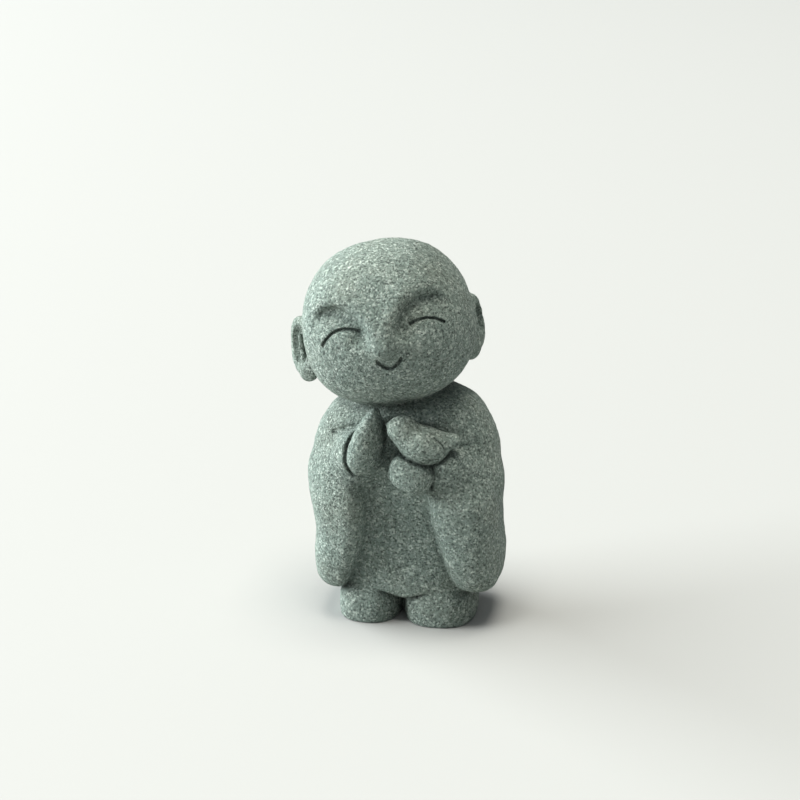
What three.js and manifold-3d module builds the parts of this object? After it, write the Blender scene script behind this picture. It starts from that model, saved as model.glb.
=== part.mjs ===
// A small cast figurine: a standing child monk in a long-sleeved robe,
// one hand raised, the other holding a bird. One solid, millimetres, +Z up,
// the front facing -Y.
import * as THREE from 'three';
import { mergeVertices } from 'three/addons/utils/BufferGeometryUtils.js';
import Module from 'manifold-3d';

const wasm = await Module();
wasm.setup();

// Whole figure
const HEIGHT = 80;

// Head
const HEAD_WIDTH = 35.6;
const HEAD_DEPTH = 34.8;
const HEAD_RISE = 18.5;
const HEAD_DROP = 14.8;
const HEAD_TURN = 7;
const HEAD_NOD = -2;
const HEAD_TILT = -10;
const HEAD_SQUARENESS = 2.3;
const NOSE_PROUD = 2.04;
const BROW_DEPTH = 1.7;
const SLIT_WIDTH = 0.9;
const EAR_HEIGHT = 13.4;
const EAR_LENGTH = 9.6;
const EAR_THICKNESS = 3.5;

// Robe
const ROBE_WIDTH = 40;
const ROBE_DEPTH = 30;
const HEM_HEIGHT = 7.1;
const CUFF_HEIGHT = 36;
const SLEEVE_SOFTNESS = 1;

// How much the front of each sleeve falls back outwards
const LEFT_SLANT = 0.2;
const RIGHT_SLANT = 0.08;

// Hands, bird and feet
const RAISED_HAND_LENGTH = 15.2;
const RAISED_HAND_WIDTH = 8.5;
const CUPPED_HAND_WIDTH = 8.6;
const BIRD_LENGTH = 17.5;
const FOOT_LENGTH = 21.8;
const FOOT_WIDTH = 14.6;
const FOOT_HEIGHT = 9.2;

// The head stands on the shoulders; the neck is where the robe ends.
const HEAD_CENTRE = new THREE.Vector3(-0.115 * ROBE_WIDTH, -0.033 * ROBE_DEPTH, HEIGHT - HEAD_RISE);
const NECK_HEIGHT = HEAD_CENTRE.z - 0.8 * HEAD_DROP;

const degrees = Math.PI / 180;
const clamp = THREE.MathUtils.clamp;

// Smooth joins of signed distances

function blend(a, b, width) {
  const share = clamp(0.5 + (0.5 * (b - a)) / width, 0, 1);
  return b * (1 - share) + a * share - width * share * (1 - share);
}

function carve(a, b, width) {
  return -blend(-a, b, width);
}

// Turns, then moves: a frame for a form that leans

function placed(centre, yaw = 0, pitch = 0, roll = 0, parent = null) {
  const turn = new THREE.Euler(pitch * degrees, roll * degrees, yaw * degrees, 'ZYX');
  const matrix = new THREE.Matrix4().makeRotationFromEuler(turn);
  matrix.setPosition(centre);
  if (parent) {
    matrix.premultiply(parent.matrix);
  }
  return { matrix, inverse: matrix.clone().invert() };
}

const within = (point, frame) => point.clone().applyMatrix4(frame.inverse);

// Signed distances of the basic forms

function ellipsoid(q, rx, ry, rz, squareness = 2) {
  const reach = q.length() + 1e-9;
  const sum =
    Math.abs(q.x / rx) ** squareness + Math.abs(q.y / ry) ** squareness + Math.abs(q.z / rz) ** squareness;
  return reach * (1 - 1 / (sum ** (1 / squareness) + 1e-9));
}

function limb(p, a, b, ra, rb) {
  const along = b.clone().sub(a);
  const share = clamp(p.clone().sub(a).dot(along) / along.lengthSq(), 0, 1);
  return p.distanceTo(a.clone().addScaledVector(along, share)) - (ra + (rb - ra) * share);
}

function section(p, cx, cy, half, front, back, squareness) {
  const x = p.x - cx;
  const y = p.y - cy;
  const reach = Math.hypot(x, y) + 1e-9;
  const depth = y < 0 ? front : back;
  const sum = Math.abs(x / half) ** squareness + Math.abs(y / depth) ** squareness;
  return reach * (1 - 1 / (sum ** (1 / squareness) + 1e-9));
}

// A smooth curve through rows of [height share, value share]

function profile(rows) {
  const slope = (i) => {
    const a = rows[Math.max(i - 1, 0)];
    const b = rows[Math.min(i + 1, rows.length - 1)];
    return (b[1] - a[1]) / (b[0] - a[0]);
  };
  return (t) => {
    const x = clamp(t, rows[0][0], rows.at(-1)[0]);
    const i = Math.max(1, rows.findIndex((row) => row[0] >= x)) - 1;
    const step = rows[i + 1][0] - rows[i][0];
    const s = (x - rows[i][0]) / step;
    const rise = rows[i][1] * (1 + 2 * s) * (1 - s) ** 2 + rows[i + 1][1] * s * s * (3 - 2 * s);
    return rise + step * (slope(i) * s * (1 - s) ** 2 + slope(i + 1) * s * s * (s - 1));
  };
}

// Face

const headFrame = placed(HEAD_CENTRE, HEAD_TURN, HEAD_NOD, HEAD_TILT);

// The face is drawn in hundredths of the head's width.
const face = HEAD_WIDTH / 100;
const EYES = [
  { x: -23.6, z: 9.5, half: 11.7, sag: 4.9, tilt: 15 },
  { x: 25.8, z: 10.9, half: 9.3, sag: 3, tilt: -10 },
];
const MOUTH = { x: 2, z: -4.8, half: 6.5, sag: -4.9, tilt: -3 };
const BROW = { x: 25.5, z: 2, width: 16.5, height: 22.5, above: 5, below: 8 };

// Steep under the brow and gentle over the lid

function browHollow(x, z) {
  let depth = 0;
  for (const side of [-1, 1]) {
    const u = (side * x - BROW.x) / BROW.width;
    const v = (z - BROW.z) / BROW.height;
    const away = (Math.hypot(u, v) - 1) * BROW.width;
    const angle = Math.atan2(v, u) / degrees;
    const inner = 1 - THREE.MathUtils.smoothstep(angle, 152, 180);
    const outer = THREE.MathUtils.smoothstep(angle, 20, 100);
    const band = away > 0 ? BROW.above : BROW.below;
    depth += inner * outer * Math.exp(-((away / band) ** 2));
  }
  return BROW_DEPTH * depth;
}

function nose(x, z) {
  const share = clamp((z + 3) / 25, 0, 1);
  const width = 8.2 - 1.4 * share;
  const along = 1 / (1 + Math.exp(-(z + 1.8) / 1.8)) / (1 + Math.exp((z - 20) / 3.4));
  const bridge = (0.64 - 0.26 * share) * Math.exp(-(Math.abs(x / width) ** 2.6)) * along;
  const tip = 0.36 * Math.exp(-((x / 7) ** 2) - ((z - 2.6) / 5.2) ** 2);
  return NOSE_PROUD * (bridge + tip);
}

function skull(p) {
  const q = within(p, headFrame);
  const drop = q.z > 0 ? HEAD_RISE : HEAD_DROP;
  const round = ellipsoid(q, HEAD_WIDTH / 2, HEAD_DEPTH / 2, drop, HEAD_SQUARENESS);
  const front = clamp(-q.y / (17 * face), 0, 1);
  const x = q.x / face;
  const z = q.z / face;
  return round - front * (nose(x, z) - browHollow(x, z));
}

// Ears, each a disc with a hollow, a ridge and a heavy lobe

const EARS = [
  { side: -1, out: 0.518, drop: -0.055, flare: 33 },
  { side: 1, out: 0.456, drop: -0.072, flare: 27 },
];

function earFrame({ side, out, drop, flare }) {
  const centre = new THREE.Vector3(side * out * HEAD_WIDTH, 0.07 * HEAD_DEPTH, drop * HEAD_WIDTH);
  return placed(centre, -side * flare, 10, -side * 4, headFrame);
}

function ear(side, frame) {
  const t = EAR_THICKNESS / 2;
  const l = EAR_LENGTH / 2;
  const h = EAR_HEIGHT / 2;
  const offset = (x, y, z) => new THREE.Vector3(x * t, y * l, z * h);
  return (p) => {
    const q = within(p, frame);
    q.x *= side;
    const disc = ellipsoid(q, t, l, h, 2.8);
    const hollow = ellipsoid(q.clone().sub(offset(1.08, -0.08, 0.16)), 0.85 * t, 0.62 * l, 0.68 * h);
    const ridge = limb(q, offset(0.42, -0.14, -0.34), offset(0.3, 0.22, 0.36), 0.36 * t, 0.3 * t);
    const lobe = ellipsoid(q.clone().sub(offset(0.06, -0.22, -0.72)), 1.08 * t, 0.54 * l, 0.34 * h);
    return blend(blend(carve(disc, hollow, 0.25 * t), ridge, 0.25 * t), lobe, 0.5 * t);
  };
}

// Robe: the trunk and the two long sleeves, as shares of the robe's height, width and depth

const lean = profile([
  [0.09, 0.005], [0.26, 0.007], [0.4, 0.003], [0.51, -0.012], [0.63, -0.025], [0.75, -0.027],
  [0.85, -0.022], [0.94, -0.008], [1, 0],
]);
const trunkHalf = profile([
  [0.09, 0.415], [0.24, 0.41], [0.4, 0.43], [0.57, 0.475], [0.69, 0.495], [0.77, 0.48],
  [0.85, 0.438], [0.93, 0.368], [1, 0.26],
]);
const trunkFront = profile([
  [0.09, 0.433], [0.24, 0.415], [0.45, 0.405], [0.69, 0.41], [0.77, 0.392], [0.85, 0.385],
  [0.93, 0.33], [1, 0.22],
]);
const trunkBack = profile([
  [0.09, 0.467], [0.4, 0.483], [0.69, 0.48], [0.77, 0.46], [0.85, 0.415], [0.93, 0.34],
  [1, 0.265],
]);
const sleeveOuter = profile([
  [0.09, 0.455], [0.18, 0.492], [0.28, 0.5], [0.4, 0.49], [0.55, 0.5], [0.69, 0.5],
]);
const sleeveInner = profile([
  [0.09, 0.32], [0.18, 0.275], [0.28, 0.23], [0.4, 0.185], [0.55, 0.16], [0.69, 0.155],
]);
const sleeveFront = profile([
  [0.09, 0.33], [0.18, 0.435], [0.28, 0.5], [0.4, 0.52], [0.55, 0.53], [0.69, 0.5],
]);
const sleeveBack = profile([
  [0.09, 0.167], [0.18, 0.233], [0.28, 0.267], [0.55, 0.3], [0.69, 0.3],
]);

const leanAt = (z) => lean(z / NECK_HEIGHT) * ROBE_WIDTH;

function trunk(p) {
  const t = p.z / NECK_HEIGHT;
  const front = trunkFront(t) * ROBE_DEPTH;
  const back = trunkBack(t) * ROBE_DEPTH;
  const round = section(p, leanAt(p.z), 0, trunkHalf(t) * ROBE_WIDTH, front, back, 2.4);
  const dipShare = Math.exp(-(((p.x - 0.01 * ROBE_WIDTH) / (0.08 * ROBE_WIDTH)) ** 2));
  const dip = 0.15 * HEM_HEIGHT * dipShare * clamp(-p.y / (0.2 * ROBE_DEPTH), 0, 1);
  return carve(carve(round, p.z - HEM_HEIGHT + dip, 0.8), NECK_HEIGHT - p.z, 5);
}

const sleeveAxis = -0.1 * ROBE_DEPTH;

function sleeve(p, side) {
  const t = p.z / NECK_HEIGHT;
  const outer = sleeveOuter(t) * ROBE_WIDTH;
  const inner = (sleeveInner(t) - (side > 0 ? 0.03 : 0)) * ROBE_WIDTH;
  const centre = leanAt(p.z) + (side * (outer + inner)) / 2;
  const front = sleeveFront(t) * ROBE_DEPTH + sleeveAxis;
  const back = sleeveBack(t) * ROBE_DEPTH - sleeveAxis;
  const ahead = clamp((sleeveAxis - p.y) / front, 0, 1);
  const slant = (side < 0 ? LEFT_SLANT : RIGHT_SLANT) * ahead;
  const slanted = p.clone().setY(p.y - slant * side * (p.x - centre));
  const round = section(slanted, centre, sleeveAxis, (outer - inner) / 2, front, back, 2.8);
  const bottom = HEM_HEIGHT - (side > 0 ? 0 : 0.2 * HEM_HEIGHT);
  const hanging = carve(carve(round, p.z - bottom, 4), 0.94 * CUFF_HEIGHT - p.z, 8);
  const elbowX = side * 0.33 * ROBE_WIDTH + leanAt(p.z);
  const elbow = new THREE.Vector3(elbowX, -0.067 * ROBE_DEPTH, 0.875 * CUFF_HEIGHT);
  const [rise, radius] = side < 0 ? [1.05, 0.135] : [1, 0.12];
  const wrist = new THREE.Vector3(side * 0.218 * ROBE_WIDTH, -0.36 * ROBE_DEPTH, rise * CUFF_HEIGHT);
  return blend(hanging, limb(p, elbow, wrist, 0.17 * ROBE_WIDTH, radius * ROBE_WIDTH), 4.5);
}

// Feet, broad and rounded, side by side under the hem

function footFrame(side) {
  const x = side < 0 ? -0.51 * FOOT_WIDTH : 0.48 * FOOT_WIDTH;
  return placed(new THREE.Vector3(x, -0.1 * ROBE_DEPTH, 0.26 * FOOT_HEIGHT), side * 4);
}

function foot(side) {
  const frame = footFrame(side);
  const half = (side < 0 ? 0.472 : 0.54) * FOOT_WIDTH;
  return (p) => ellipsoid(within(p, frame), half, FOOT_LENGTH / 2, 0.74 * FOOT_HEIGHT, 2.6);
}

// Hands in front of the chest

const chestFront = -0.435 * ROBE_DEPTH;
const raisedPalm = new THREE.Vector3(-0.176 * ROBE_WIDTH, chestFront, 1.139 * CUFF_HEIGHT);
const raisedFrame = placed(raisedPalm, -25, -6, 11);
const cuppedPalm = new THREE.Vector3(0.06 * ROBE_WIDTH, 1.1 * chestFront, 0.975 * CUFF_HEIGHT);
const cuppedFrame = placed(cuppedPalm, 0, 0, 24);

function raisedHand(p) {
  const q = within(p, raisedFrame);
  const half = RAISED_HAND_LENGTH / 2;
  const taper = clamp(1 - (0.37 * q.z) / half, 0.5, 1.25);
  q.x /= taper;
  q.y /= taper;
  return ellipsoid(q, 0.36 * RAISED_HAND_WIDTH, RAISED_HAND_WIDTH / 2, half);
}

function cuppedHand(p) {
  const half = CUPPED_HAND_WIDTH / 2;
  return ellipsoid(within(p, cuppedFrame), 1.08 * half, 0.96 * half, 0.86 * half, 2.7);
}

// Bird: body, head, beak, tail and folded wing, in shares of its length

const perchOffset = new THREE.Vector3(0.12 * BIRD_LENGTH, 0.02 * BIRD_LENGTH, 0.75 * CUPPED_HAND_WIDTH);
const perch = perchOffset.add(cuppedPalm);
const birdPlace = (x, y, z) => perch.clone().add(new THREE.Vector3(x, y, z).multiplyScalar(BIRD_LENGTH));
const birdBody = placed(birdPlace(0.01, 0, -0.012), 8, 0, 14);
const birdHead = placed(birdPlace(-0.235, -0.02, 0.168));
const birdWing = placed(birdPlace(0.05, -0.145, 0.012), -2, 0, 14);
const birdBeak = [birdPlace(-0.34, -0.03, 0.2), birdPlace(-0.425, -0.03, 0.222)];
const birdTail = [birdPlace(0.08, 0.03, 0), birdPlace(0.36, 0.05, 0.04)];

function bird(p) {
  const b = BIRD_LENGTH;
  const trunkForm = ellipsoid(within(p, birdBody), 0.3 * b, 0.23 * b, 0.232 * b);
  const headForm = ellipsoid(within(p, birdHead), 0.18 * b, 0.17 * b, 0.168 * b);
  const beakForm = limb(p, ...birdBeak, 0.055 * b, 0.014 * b);
  const tailForm = limb(p, ...birdTail, 0.165 * b, 0.088 * b);
  const wing = within(p, birdWing);
  wing.z /= clamp(1 - (0.7 * wing.x) / b, 0.75, 1.15);
  const wingForm = ellipsoid(wing, 0.24 * b, 0.1 * b, 0.138 * b);
  const bare = blend(blend(blend(trunkForm, headForm, 0.1 * b), beakForm, 0.03 * b), tailForm, 0.06 * b);
  return blend(bare, wingForm, 0.01 * b);
}

// Solids

function solidOf(geometry) {
  geometry.deleteAttribute('normal');
  geometry.deleteAttribute('uv');
  const merged = mergeVertices(geometry, 1e-4);
  const vertProperties = new Float32Array(merged.attributes.position.array);
  return new wasm.Manifold(new wasm.Mesh({
    numProp: 3,
    vertProperties,
    triVerts: new Uint32Array(merged.index.array),
  }));
}

// Draws a sphere in or out, in a form's own frame, until its skin lies on the field's surface.
// Warp places the columns, from an angle off the front and a level from -1 to 1.

const evenly = (around) => around;
const frontward = (around) => around - 0.4 * Math.sin(around);

function wrapped(field, frame, reach, columns, rows, warp = evenly) {
  const geometry = new THREE.SphereGeometry(1, columns, rows);
  const skin = geometry.attributes.position;
  const point = new THREE.Vector3();
  for (let i = 0; i < skin.count; i += 1) {
    const ring = Math.hypot(skin.getX(i), skin.getZ(i));
    const around = Math.atan2(skin.getX(i), skin.getZ(i));
    const turned = warp(around, skin.getY(i));
    const ray = new THREE.Vector3(ring * Math.sin(turned), -ring * Math.cos(turned), skin.getY(i));
    ray.multiply(reach);
    let near = 0;
    let far = 2;
    for (let step = 0; step < 26; step += 1) {
      const middle = (near + far) / 2;
      point.copy(ray).multiplyScalar(middle).applyMatrix4(frame.matrix);
      if (field(point) < 0) {
        near = middle;
      } else {
        far = middle;
      }
    }
    point.copy(ray).multiplyScalar(near).applyMatrix4(frame.matrix);
    skin.setXYZ(i, point.x, point.y, point.z);
  }
  return solidOf(geometry);
}

// A round groove through points moved back onto a form's front

function groove(field, points, radius) {
  const onFront = points.map((start) => {
    const point = start.clone();
    for (let step = 0; step < 60; step += 1) {
      point.y += 0.8 * field(point);
    }
    return point;
  });
  const round = new THREE.Shape().absarc(0, 0, radius, 0, 2 * Math.PI);
  const geometry = new THREE.ExtrudeGeometry(round, {
    extrudePath: new THREE.CatmullRomCurve3(onFront),
    steps: 2 * points.length,
    curveSegments: 4,
    bevelEnabled: false,
  });
  return solidOf(geometry);
}

function arcPoints({ x, z, half, sag, tilt }) {
  const points = [];
  for (let i = 0; i <= 6; i += 1) {
    const u = half * (i / 3 - 1);
    const v = sag * (1 - (u / half) ** 2);
    const across = x + u * Math.cos(tilt * degrees) - v * Math.sin(tilt * degrees);
    const up = z + u * Math.sin(tilt * degrees) + v * Math.cos(tilt * degrees);
    const local = new THREE.Vector3(across * face, -0.8 * HEAD_DEPTH, up * face);
    points.push(local.applyMatrix4(headFrame.matrix));
  }
  return points;
}

// Creases where the sleeves fold at the cuffs, as shares of the robe's width and height

const creasePoints = (shares) =>
  shares.map(([x, z]) => new THREE.Vector3(x * ROBE_WIDTH, -ROBE_DEPTH, z * NECK_HEIGHT));
const LEFT_CREASE = creasePoints([[-0.42, 0.8], [-0.36, 0.825], [-0.3, 0.845], [-0.24, 0.855]]);
const RIGHT_CREASE = creasePoints([[0.19, 0.775], [0.24, 0.795], [0.3, 0.805], [0.37, 0.81]]);

function buildHead() {
  const reach = new THREE.Vector3(HEAD_WIDTH / 2, HEAD_DEPTH / 2, HEAD_RISE);
  let head = wrapped(skull, headFrame, reach, 50, 30, frontward);
  for (const line of [...EYES, MOUTH]) {
    head = head.subtract(groove(skull, arcPoints(line), SLIT_WIDTH / 2));
  }
  const earReach = new THREE.Vector3(EAR_THICKNESS / 2, EAR_LENGTH / 2, EAR_HEIGHT / 2);
  for (const place of EARS) {
    const frame = earFrame(place);
    const heart = placed(new THREE.Vector3(-0.3 * place.side * EAR_THICKNESS, 0, 0), 0, 0, 0, frame);
    head = head.add(wrapped(ear(place.side, frame), heart, earReach, 18, 14));
  }
  return head;
}

// Columns of the robe's skin run down the valleys and the crowns of both sleeves.

const ROBE_COLUMNS = 56;
const VALLEY_COLUMN = 5;
const CROWN_COLUMN = 8;

function alongSleeves(around, level) {
  const t = clamp(0.5 + 0.5 * level, 0, 1);
  const inner = sleeveInner(t);
  const crown = inner + 0.35 * (sleeveOuter(t) - inner);
  const stops = [
    [0, 0],
    [VALLEY_COLUMN, Math.atan2(inner * ROBE_WIDTH, trunkFront(t) * ROBE_DEPTH)],
    [CROWN_COLUMN, Math.atan2(crown * ROBE_WIDTH, sleeveFront(t) * ROBE_DEPTH)],
    [ROBE_COLUMNS / 2, Math.PI],
  ];
  const column = (Math.abs(around) * ROBE_COLUMNS) / (2 * Math.PI);
  const next = Math.max(1, stops.findIndex((stop) => stop[0] >= column - 1e-6));
  const [[fromColumn, fromAngle], [toColumn, toAngle]] = [stops[next - 1], stops[next]];
  const share = (column - fromColumn) / (toColumn - fromColumn);
  return Math.sign(around) * (fromAngle + share * (toAngle - fromAngle));
}

function robe(p) {
  const softness = SLEEVE_SOFTNESS * (0.4 + 0.6 * clamp(p.z / CUFF_HEIGHT, 0, 1));
  return blend(blend(trunk(p), sleeve(p, -1), softness), sleeve(p, 1), softness);
}

function buildRobe() {
  const reach = new THREE.Vector3(ROBE_WIDTH / 2, ROBE_WIDTH / 2, NECK_HEIGHT / 2);
  const middle = placed(new THREE.Vector3(0, 0, NECK_HEIGHT / 2));
  let body = wrapped(robe, middle, reach, ROBE_COLUMNS, 30, alongSleeves);
  for (const crease of [LEFT_CREASE, RIGHT_CREASE]) {
    body = body.subtract(groove(robe, crease, SLIT_WIDTH / 2));
  }
  return body;
}

function buildFeet() {
  const reach = new THREE.Vector3(FOOT_WIDTH / 2, FOOT_LENGTH / 2, FOOT_HEIGHT);
  const [left, right] = [-1, 1].map((side) => wrapped(foot(side), footFrame(side), reach, 20, 12));
  const floor = new THREE.BoxGeometry(4 * ROBE_WIDTH, 4 * ROBE_WIDTH, HEIGHT).translate(0, 0, -HEIGHT / 2);
  return left.add(right).subtract(solidOf(floor));
}

// The raised hand stands in a channel cut a little in front of it and above it

function buildFigurine() {
  const handReach = new THREE.Vector3(RAISED_HAND_WIDTH / 2, RAISED_HAND_WIDTH / 2, RAISED_HAND_LENGTH / 2);
  const ahead = new THREE.Vector3(0, -0.25 * RAISED_HAND_WIDTH, 0.08 * RAISED_HAND_LENGTH);
  const channel = (p) => raisedHand(p.clone().sub(ahead)) - SLIT_WIDTH;
  const channelFrame = placed(raisedPalm, -25, -6, 11, placed(ahead));
  const cupReach = new THREE.Vector3(1, 1, 1).multiplyScalar(CUPPED_HAND_WIDTH / 2);
  const birdReach = new THREE.Vector3(0.45, 0.25, 0.3).multiplyScalar(BIRD_LENGTH);
  return buildRobe()
    .subtract(wrapped(channel, channelFrame, handReach, 16, 10))
    .add(wrapped(raisedHand, raisedFrame, handReach, 18, 14))
    .add(wrapped(cuppedHand, cuppedFrame, cupReach, 18, 12))
    .add(wrapped(bird, birdBody, birdReach, 24, 16))
    .add(buildFeet())
    .add(buildHead());
}

function geometryOf(solid) {
  const mesh = solid.getMesh();
  const geometry = new THREE.BufferGeometry();
  geometry.setAttribute('position', new THREE.BufferAttribute(new Float32Array(mesh.vertProperties), 3));
  geometry.setIndex(new THREE.BufferAttribute(new Uint32Array(mesh.triVerts), 1));
  geometry.computeVertexNormals();
  return geometry;
}

const stone = new THREE.MeshStandardMaterial({ color: 0x7d8b82, roughness: 0.92, metalness: 0 });
const figurine = new THREE.Mesh(geometryOf(buildFigurine()), stone);
figurine.name = 'monk_figurine';

// The origin is under the middle of the figure's box.
figurine.geometry.computeBoundingBox();
const boxCentre = figurine.geometry.boundingBox.getCenter(new THREE.Vector3());
figurine.position.set(-boxCentre.x, -boxCentre.y, 0);

const group = new THREE.Group();
group.add(figurine);

export default group;
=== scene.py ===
"""A small cast figurine of a child monk: its carved form, its stone finish and a pale studio.

The figure is one casting. Its form is a distance field built from named shares of its height,
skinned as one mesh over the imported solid, with the cut lines and the sand grain in the mesh.
Lengths are in millimetres while the form is worked out, and in metres in Blender.
"""

import logging
from dataclasses import dataclass, field
from enum import Enum
from typing import Callable, Sequence

import bmesh
import bpy
import numpy as np
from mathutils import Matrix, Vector

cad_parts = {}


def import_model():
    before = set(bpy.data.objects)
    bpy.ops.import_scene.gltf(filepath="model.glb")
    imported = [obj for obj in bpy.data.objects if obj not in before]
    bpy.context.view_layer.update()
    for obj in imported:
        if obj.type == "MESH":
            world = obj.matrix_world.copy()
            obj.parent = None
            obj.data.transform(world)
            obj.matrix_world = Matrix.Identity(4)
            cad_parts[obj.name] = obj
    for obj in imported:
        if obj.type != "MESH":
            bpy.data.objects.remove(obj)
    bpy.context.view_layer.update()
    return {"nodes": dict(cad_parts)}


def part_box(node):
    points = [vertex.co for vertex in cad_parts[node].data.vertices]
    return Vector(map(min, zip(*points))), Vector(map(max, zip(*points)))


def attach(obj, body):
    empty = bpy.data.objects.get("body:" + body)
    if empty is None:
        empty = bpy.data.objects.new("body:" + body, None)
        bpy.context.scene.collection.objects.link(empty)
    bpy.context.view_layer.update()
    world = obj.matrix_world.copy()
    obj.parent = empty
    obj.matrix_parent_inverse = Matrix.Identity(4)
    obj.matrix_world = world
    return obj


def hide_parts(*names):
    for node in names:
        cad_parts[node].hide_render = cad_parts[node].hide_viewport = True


logging.basicConfig(level=logging.INFO, format="%(name)s: %(message)s")
LOG = logging.getLogger("monk_figurine")

NODE = "monk_figurine"
# Names the mesh attribute that carries painted shade: how deep each point lies in a hollow, which
# darkens the stone's colour there.
PAINTED_SHADE = "hollow"
MM = 0.001

# The height from the soles to the untilted crown, as a share of the solid's box: tilting the
# head lifts the crown a little.
FIGURE_SHARE = 0.99813

# Keeps a division from meeting zero
TINY = 1e-9

Array = np.ndarray
Field = Callable[[Array], Array]


# Forms

def blend(a: Array, b: Array, width: float) -> Array:
    """Join two distances with a rounded valley.

    Args:
        a: Signed distances to one form.
        b: Signed distances to the other.
        width: How far the rounding reaches, in millimetres.

    Returns:
        Signed distances to the joined form.
    """
    share = np.clip(0.5 + 0.5 * (b - a) / width, 0.0, 1.0)
    return b * (1 - share) + a * share - width * share * (1 - share)


def carve(a: Array, b: Array, width: float) -> Array:
    """Cut one form out of another with a rounded edge.

    Args:
        a: Signed distances to the form that stays.
        b: Signed distances to the form that is cut away.
        width: How far the rounding reaches, in millimetres.

    Returns:
        Signed distances to what is left.
    """
    return -blend(-a, b, width)


def smoothstep(x: Array, low: float, high: float) -> Array:
    """Rise smoothly from 0 at low to 1 at high.

    Args:
        x: The values to map.
        low: Where the rise starts.
        high: Where the rise ends.

    Returns:
        Values from 0 to 1.
    """
    t = np.clip((x - low) / (high - low), 0.0, 1.0)
    return t * t * (3 - 2 * t)


def ellipsoid(q: Array, rx: float, ry: float, rz: float, squareness: float = 2.0) -> Array:
    """Measure a superellipsoid about the origin.

    Args:
        q: Points in the form's own frame.
        rx: Half its width.
        ry: Half its depth.
        rz: Half its height.
        squareness: 2 for an ellipsoid, more for a squarer form.

    Returns:
        Signed distances along the ray from the centre.
    """
    reach = np.linalg.norm(q, axis=-1) + TINY
    total = (np.abs(q[..., 0] / rx) ** squareness + np.abs(q[..., 1] / ry) ** squareness
             + np.abs(q[..., 2] / rz) ** squareness)
    return reach * (1 - 1 / (total ** (1 / squareness) + TINY))


def limb(p: Array, a: Array, b: Array, ra: float, rb: float) -> Array:
    """Measure a tapered round limb.

    Args:
        p: Points.
        a: One end's centre.
        b: The other end's centre.
        ra: Radius at the first end.
        rb: Radius at the other end.

    Returns:
        Signed distances.
    """
    along = b - a
    share = np.clip(((p - a) * along).sum(-1) / (along * along).sum(-1), 0.0, 1.0)[..., None]
    return np.linalg.norm(p - a - along * share, axis=-1) - (ra + (rb - ra) * share[..., 0])


def section(x: Array, y: Array, half: Array, front: Array, back: Array,
            squareness: float) -> Array:
    """Measure an upright form by its level section, a superellipse.

    Args:
        x: Distance from the section's centre across the figure.
        y: Distance from the section's centre, the front being negative.
        half: Half the width at each point's level.
        front: Depth in front of the centre.
        back: Depth behind the centre.
        squareness: 2 for an ellipse, more for a squarer section.

    Returns:
        Signed distances along the ray from the section's centre.
    """
    reach = np.hypot(x, y) + TINY
    depth = np.where(y < 0, front, back)
    total = np.abs(x / half) ** squareness + np.abs(y / depth) ** squareness
    return reach * (1 - 1 / (total ** (1 / squareness) + TINY))


class Profile:
    """A smooth curve through a few rows of (height share, value share)."""

    def __init__(self, *rows: tuple[float, float]) -> None:
        self.at = np.array([row[0] for row in rows])
        self.value = np.array([row[1] for row in rows])
        wide = np.concatenate(([self.at[0]], self.at, [self.at[-1]]))
        tall = np.concatenate(([self.value[0]], self.value, [self.value[-1]]))
        self.slope = (tall[2:] - tall[:-2]) / (wide[2:] - wide[:-2])

    def __call__(self, t: Array) -> Array:
        """Read the curve, held level beyond its ends.

        Args:
            t: Height shares.

        Returns:
            Value shares.
        """
        x = np.clip(t, self.at[0], self.at[-1])
        i = np.clip(np.searchsorted(self.at, x, side="right") - 1, 0, len(self.at) - 2)
        step = self.at[i + 1] - self.at[i]
        s = (x - self.at[i]) / step
        rise = self.value[i] * (1 + 2 * s) * (1 - s) ** 2 + self.value[i + 1] * s * s * (3 - 2 * s)
        bend = self.slope[i] * s * (1 - s) ** 2 + self.slope[i + 1] * s * s * (s - 1)
        return rise + step * bend


@dataclass(frozen=True)
class Place:
    """Where a form stands and how it is turned, in degrees."""

    x: float
    y: float
    z: float
    yaw: float = 0.0
    pitch: float = 0.0
    roll: float = 0.0

    @property
    def centre(self) -> Array:
        """The form's centre."""
        return np.array([self.x, self.y, self.z])

    @property
    def turn(self) -> Array:
        """The rotation whose columns are the form's own axes."""
        a, b, c = np.radians([self.yaw, self.pitch, self.roll])
        yaw = np.array([[np.cos(a), -np.sin(a), 0], [np.sin(a), np.cos(a), 0], [0, 0, 1]])
        pitch = np.array([[1, 0, 0], [0, np.cos(b), -np.sin(b)], [0, np.sin(b), np.cos(b)]])
        roll = np.array([[np.cos(c), 0, np.sin(c)], [0, 1, 0], [-np.sin(c), 0, np.cos(c)]])
        return yaw @ roll @ pitch

    def within(self, p: Array) -> Array:
        """Express points in the form's own frame.

        Args:
            p: Points in the parent's frame.

        Returns:
            The same points in this frame.
        """
        return (p - self.centre) @ self.turn


def line_distance(p: Array, points: Array) -> Array:
    """Measure the distance to a line through points.

    Args:
        p: Points to measure from.
        points: The line's corners, in order.

    Returns:
        The distance from each point to the nearest stretch.
    """
    nearest = np.full(p.shape[:-1], np.inf)
    for a, b in zip(points[:-1], points[1:]):
        along = b - a
        share = np.clip(((p - a) @ along) / (along @ along), 0.0, 1.0)[..., None]
        nearest = np.minimum(nearest, np.linalg.norm(p - a - along * share, axis=-1))
    return nearest


# Parts of the figure

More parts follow.
